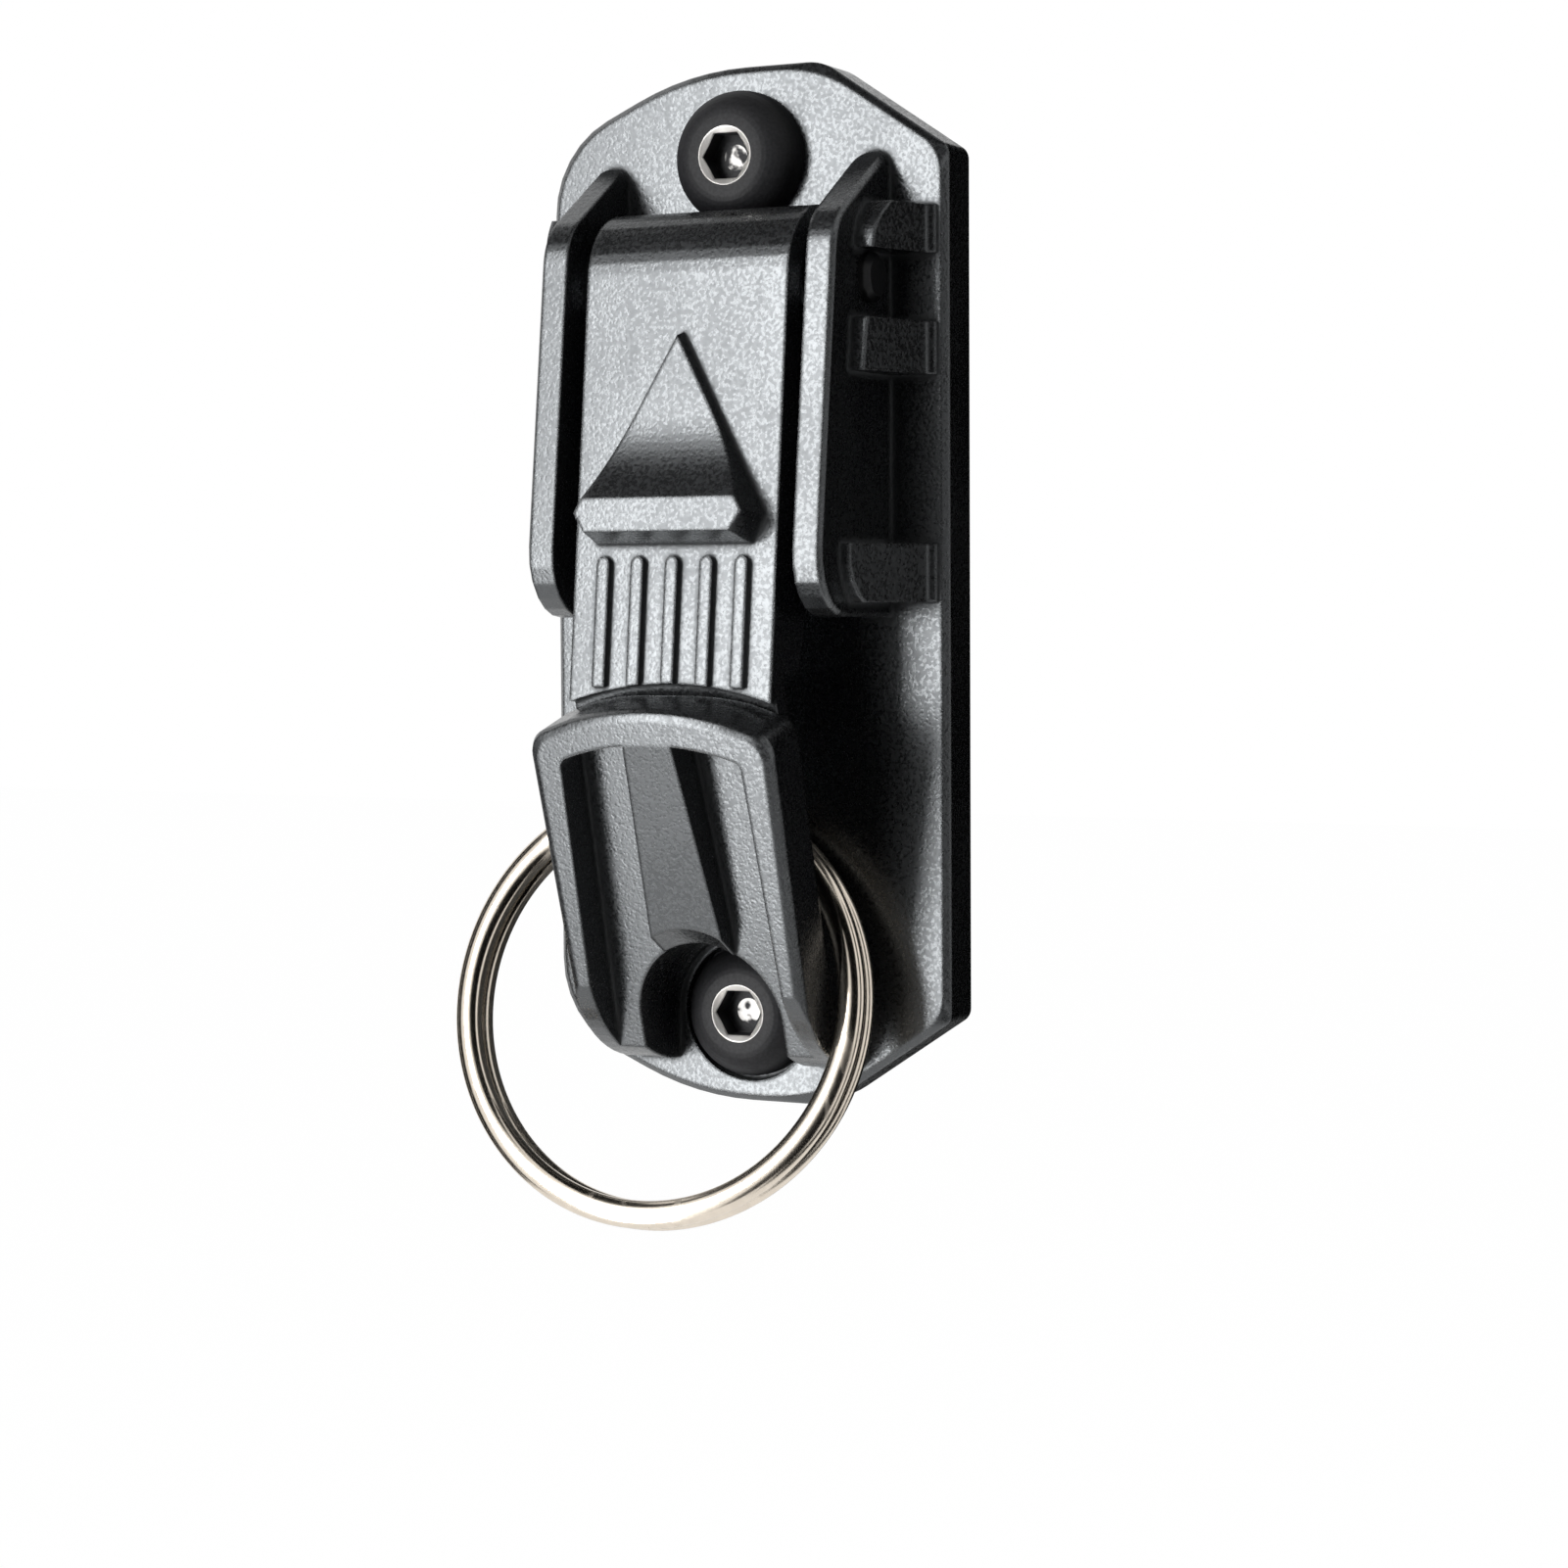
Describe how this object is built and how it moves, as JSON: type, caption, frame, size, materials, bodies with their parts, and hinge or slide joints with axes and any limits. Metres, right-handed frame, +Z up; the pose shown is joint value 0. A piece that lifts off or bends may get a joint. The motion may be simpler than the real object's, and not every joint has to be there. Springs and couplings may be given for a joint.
{
  "type": "belt key clip",
  "caption": "Belt-worn key clip: two plates clamp a duty belt, a sprung thumb lever closes the mouth of a moulded hook, and a split ring for keys hangs on the hook's neck.",
  "frame": {"origin": "centre of the belt slot, midway between the front plate and the back plate and midway between the two clamp screws", "axes": "+Z up along the clip, +X along the belt to the right as seen from the front, the front with the hook faces -Y"},
  "size_m": [0.0394, 0.0317, 0.0904],
  "materials": {
    "moulding": "fine grained black nylon",
    "black_steel": "satin black oxide",
    "spring_steel": "bright drawn wire",
    "nickel": "polished nickel plate",
    "zinc": "satin zinc plate",
    "brass": "turned brass"
  },
  "bodies": {
    "clip": {"front_body": "moulding", "hinge_pin": "black_steel", "pin_retainer": "black_steel", "torsion_spring": "spring_steel", "upper_screw": "black_steel", "lower_screw": "black_steel", "upper_spacer": "zinc", "lower_spacer": "zinc", "back_plate": "moulding", "upper_insert": "brass", "lower_insert": "brass"},
    "gate": {"gate_lever": "moulding"},
    "ring": {"split_ring": "nickel"}
  },
  "joints": [
    {"name": "gate_hinge", "type": "hinge", "parent": "clip", "child": "gate", "pos_m": [0, -0.0109, 0.0234], "axis": [1, 0, 0], "range_deg": [0, 14], "stiffness_Nm_per_rad": 0.5, "springref_deg": -17.19, "deforming": ["torsion_spring"]},
    {"name": "ring_swing", "type": "hinge", "parent": "clip", "child": "ring", "pos_m": [0, -0.0129, -0.019], "axis": [0, 1, 0], "range_deg": [-36, 0]}
  ]
}
